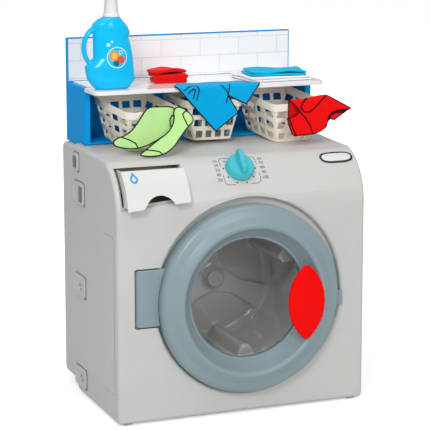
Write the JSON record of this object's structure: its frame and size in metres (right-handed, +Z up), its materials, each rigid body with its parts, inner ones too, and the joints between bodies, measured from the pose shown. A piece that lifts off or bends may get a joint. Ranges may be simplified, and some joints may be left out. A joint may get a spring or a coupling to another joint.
{
  "type": "toy washing machine",
  "caption": "Toy front-loading washing machine with a round glazed door, turning drum and dial, detergent drawer and a shelf unit with laundry baskets, bottle and cloth laundry.",
  "frame": {"origin": "centre of the bounding box on the floor that the machine stands on", "axes": "+Z up, the door faces -Y, +X is to the right of someone who faces the door"},
  "size_m": [0.447, 0.333, 0.6906],
  "materials": {
    "body_grey": "blow-moulded, satin",
    "clip_grey": "moulded, satin",
    "door_slate": "moulded, semi-gloss",
    "window_clear": "clear moulded plastic",
    "handle_red": "moulded, gloss",
    "drum_grey": "moulded, semi-gloss",
    "pin_steel": "drawn",
    "nylon_white": "moulded",
    "dial_turquoise": "moulded, semi-gloss",
    "drawer_white": "moulded, satin",
    "unit_blue": "moulded, semi-gloss",
    "shelf_white": "moulded, semi-gloss",
    "basket_cream": "moulded, satin",
    "bottle_blue": "blow-moulded, gloss",
    "cloth_green": "soft felt",
    "cloth_blue": "soft felt",
    "cloth_red": "soft felt",
    "cloth_teal": "terry",
    "cloth_white": "terry"
  },
  "bodies": {
    "machine": {"front_shell": "body_grey", "rear_shell": "body_grey", "foot_front_left": "body_grey", "foot_front_right": "body_grey", "foot_rear_left": "body_grey", "foot_rear_right": "body_grey", "tub": "drum_grey", "drum_axle": "pin_steel", "axle_nut": "pin_steel", "hinge_pin": "pin_steel", "click_spring": "pin_steel", "drawer_sleeve": "nylon_white", "shelf_unit": "unit_blue", "tile_panel": "shelf_white", "shelf": "shelf_white", "clip_left_1": "clip_grey", "clip_left_2": "clip_grey", "clip_left_3": "clip_grey", "clip_left_4": "clip_grey", "clip_right_1": "clip_grey", "clip_right_2": "clip_grey", "clip_right_3": "clip_grey", "clip_right_4": "clip_grey"},
    "door": {"door_ring": "door_slate", "door_back": "door_slate", "window": "window_clear", "handle": "handle_red", "hinge_arm": "door_slate", "latch_tab": "door_slate"},
    "drum": {"drum": "drum_grey", "axle_bush": "nylon_white", "hub_cap": "nylon_white"},
    "dial": {"knob": "dial_turquoise", "knob_shaft": "dial_turquoise", "click_wheel": "nylon_white"},
    "drawer": {"drawer_front": "drawer_white", "drawer_tray": "nylon_white"},
    "basket_left": {"basket_left": "basket_cream", "sock_inner": "cloth_green", "sock_outer": "cloth_green"},
    "basket_middle": {"basket_middle": "basket_cream", "shorts": "cloth_blue"},
    "basket_right": {"basket_right": "basket_cream", "shirt": "cloth_red"},
    "bottle": {"bottle": "bottle_blue", "bottle_cap": "shelf_white"},
    "folded_cloth": {"folded_cloth": "cloth_red"},
    "towels": {"towel_white": "cloth_white", "towel_teal": "cloth_teal"}
  },
  "joints": [
    {"name": "door_hinge", "type": "hinge", "parent": "machine", "child": "door", "pos_m": [-0.1795, -0.128, 0.2115], "axis": [0, 0, -1], "range_deg": [0, 100]},
    {"name": "drum_spin", "type": "hinge", "parent": "machine", "child": "drum", "pos_m": [0.0075, 0.0265, 0.197], "axis": [0, -1, 0], "continuous": true},
    {"name": "dial_turn", "type": "hinge", "parent": "machine", "child": "dial", "pos_m": [0.002, -0.10813, 0.40963], "axis": [0, -0.6959, 0.7181], "continuous": true},
    {"name": "drawer_slide", "type": "slide", "parent": "machine", "child": "drawer", "axis": [0, -1, 0], "range_m": [-0.018, 0.07]},
    {"name": "basket_left_slide", "type": "slide", "parent": "machine", "child": "basket_left", "axis": [0, -1, 0], "range_m": [0, 0.1]},
    {"name": "basket_middle_slide", "type": "slide", "parent": "machine", "child": "basket_middle", "axis": [0, -1, 0], "range_m": [0, 0.12]},
    {"name": "basket_right_slide", "type": "slide", "parent": "machine", "child": "basket_right", "axis": [0, -1, 0], "range_m": [0, 0.1]},
    {"name": "bottle_lift", "type": "slide", "parent": "machine", "child": "bottle", "axis": [0, 0, 1], "range_m": [0, 0.15]},
    {"name": "folded_cloth_lift", "type": "slide", "parent": "machine", "child": "folded_cloth", "axis": [0, 0, 1], "range_m": [0, 0.1]},
    {"name": "towels_lift", "type": "slide", "parent": "machine", "child": "towels", "axis": [0, 0, 1], "range_m": [0, 0.1]}
  ]
}
